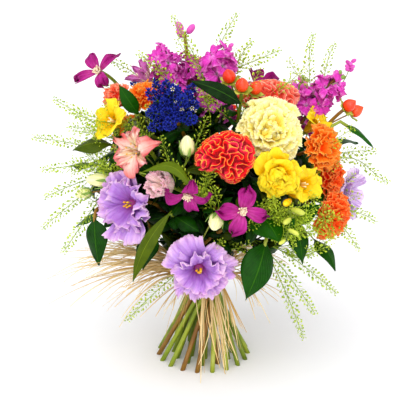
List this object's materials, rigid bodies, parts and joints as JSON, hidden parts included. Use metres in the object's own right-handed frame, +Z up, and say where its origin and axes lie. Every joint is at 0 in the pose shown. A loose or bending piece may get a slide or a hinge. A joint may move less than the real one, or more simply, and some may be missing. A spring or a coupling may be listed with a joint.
{
  "type": "mixed flower bouquet",
  "caption": "Hand-tied round bouquet of mixed flowers, berries, sprays and leaves on a spiral of cut stems, bound at the waist with raffia and standing on its stem ends.",
  "frame": {"origin": "on the surface the bouquet stands on, at the cut end of its middle stem", "axes": "+Z up, +X to the right seen from the front, the front looks along -Y"},
  "size_m": [0.4204, 0.3248, 0.4193],
  "materials": {
    "lisianthus_lilac": "soft lilac petals, paler towards the throat",
    "lisianthus_blush": "soft dusty pink petals",
    "cockscomb_red": "velvety scarlet crest with golden folds",
    "cockscomb_coral": "velvety coral crest",
    "carnation_lemon": "pale lemon petals",
    "carnation_orange": "bright orange petals",
    "carnation_scarlet": "orange red petals",
    "freesia_yellow": "bright yellow petals",
    "alstroemeria_pink": "salmon pink petals with a yellow throat",
    "statice_blue": "papery deep blue calyces",
    "clematis_magenta": "silky magenta petals",
    "stock_pink": "soft pink and purple florets",
    "hypericum_red": "glossy orange red berries",
    "leaf_green": "smooth dark green leaves, a little glossy",
    "stem_green": "smooth olive and yellow green stems",
    "pennycress_green": "light green twigs and flat seed pods",
    "raffia_straw": "dry straw coloured raffia strands"
  },
  "bodies": {
    "root": {"alstroemeria": "alstroemeria_pink", "alstroemeria_stem": "stem_green", "carnation_back_lemon": "carnation_lemon", "carnation_back_orange": "carnation_orange", "carnation_coral_left": "carnation_scarlet", "carnation_lemon": "carnation_lemon", "carnation_orange_left": "carnation_orange", "carnation_orange_lower": "carnation_orange", "carnation_orange_upper": "carnation_orange", "carnation_scarlet": "carnation_scarlet", "carnation_stem_back": "stem_green", "carnation_stem_back_left": "stem_green", "carnation_stem_left": "stem_green", "carnation_stem_lemon": "stem_green", "carnation_stem_right": "stem_green", "clematis_back": "clematis_magenta", "clematis_front": "clematis_magenta", "clematis_left": "clematis_magenta", "cockscomb_back": "cockscomb_red", "cockscomb_coral": "cockscomb_coral", "cockscomb_front": "cockscomb_red", "freesia_back": "freesia_yellow", "freesia_double": "freesia_yellow", "freesia_left": "freesia_yellow", "freesia_right": "freesia_yellow", "freesia_stem_back": "stem_green", "freesia_stem_left": "stem_green", "freesia_stem_right": "stem_green", "freesia_stem_top": "stem_green", "freesia_top": "freesia_yellow", "hypericum_front": "hypericum_red", "hypericum_right": "hypericum_red", "leaves_back": "leaf_green", "leaves_front": "leaf_green", "leaves_left": "leaf_green", "leaves_right": "leaf_green", "lisianthus_back": "lisianthus_lilac", "lisianthus_blush": "lisianthus_blush", "lisianthus_front": "lisianthus_lilac", "lisianthus_left": "lisianthus_lilac", "lisianthus_right": "lisianthus_lilac", "lisianthus_stem_back": "stem_green", "lisianthus_stem_blush": "stem_green", "lisianthus_stem_front": "stem_green", "lisianthus_stem_left": "stem_green", "lisianthus_stem_right": "stem_green", "pennycress_back": "pennycress_green", "pennycress_left": "pennycress_green", "pennycress_low": "pennycress_green", "pennycress_right": "pennycress_green", "pennycress_top": "pennycress_green", "raffia_collar": "raffia_straw", "raffia_tie": "raffia_straw", "statice_back": "statice_blue", "statice_front": "statice_blue", "stock_back": "stock_pink", "stock_left": "stock_pink", "stock_middle": "stock_pink", "stock_right": "stock_pink"}
  },
  "joints": []
}
